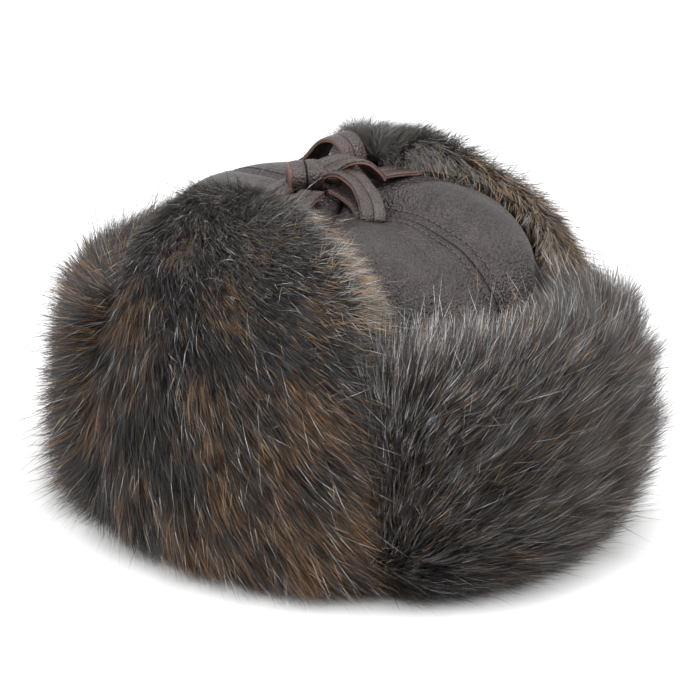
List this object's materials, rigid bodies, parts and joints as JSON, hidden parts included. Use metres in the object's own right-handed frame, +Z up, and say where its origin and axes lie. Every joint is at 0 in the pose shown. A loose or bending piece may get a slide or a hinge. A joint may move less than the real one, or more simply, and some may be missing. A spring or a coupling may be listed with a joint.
{
  "type": "trapper hat",
  "caption": "Leather trapper hat with a fur-faced visor, ear flaps folded up and tied over the crown, and a fur neck flap.",
  "frame": {"origin": "on the crown's axis, in the plane of the hem and the folded edges that the hat rests on", "axes": "+Z up through the crown, -Y towards the wearer's face, -X to the wearer's right"},
  "size_m": [0.244, 0.2872, 0.174],
  "materials": {
    "leather": "pebbled, semi-matte",
    "fur": "long glossy guard hair over dense underfur",
    "wadding": "matt fibre",
    "lining": "quilted satin",
    "sweatband": "ribbed grosgrain"
  },
  "bodies": {
    "crown": {"gore_front_left": "leather", "gore_side_left": "leather", "gore_back_left": "leather", "gore_back_right": "leather", "gore_side_right": "leather", "gore_front_right": "leather", "crown_wadding": "wadding", "lining_right": "lining", "lining_left": "lining", "sweatband": "sweatband", "hem_binding": "leather"},
    "visor": {"visor_leather": "leather", "visor_fur": "fur"},
    "ear_flap_right": {"ear_flap_right_leather": "leather", "ear_flap_right_fur": "fur", "tie_right": "leather"},
    "ear_flap_left": {"ear_flap_left_leather": "leather", "ear_flap_left_fur": "fur", "tie_left": "leather"},
    "neck_flap": {"neck_flap_leather": "leather", "neck_flap_fur": "fur"},
    "bow": {"bow_knot": "leather", "bow_tail": "leather", "bow_loop_back": "leather", "bow_loop_front": "leather", "bow_strap": "leather"}
  },
  "joints": [
    {"name": "visor_fold", "type": "hinge", "parent": "crown", "child": "visor", "pos_m": [0, -0.10935, 0], "axis": [1, 0, 0], "range_deg": [0, 150]},
    {"name": "ear_flap_right_fold", "type": "hinge", "parent": "crown", "child": "ear_flap_right", "pos_m": [-0.09513, 0, 0], "axis": [0, -1, 0], "range_deg": [0, 165]},
    {"name": "ear_flap_left_fold", "type": "hinge", "parent": "crown", "child": "ear_flap_left", "pos_m": [0.09513, 0, 0], "axis": [0, 1, 0], "range_deg": [0, 165]},
    {"name": "neck_flap_fold", "type": "hinge", "parent": "crown", "child": "neck_flap", "pos_m": [0, 0.10935, 0], "axis": [-1, 0, 0], "range_deg": [0, 165]},
    {"name": "bow_untie", "type": "slide", "parent": "crown", "child": "bow", "axis": [0, 0, 1], "range_m": [0, 0.06]}
  ]
}
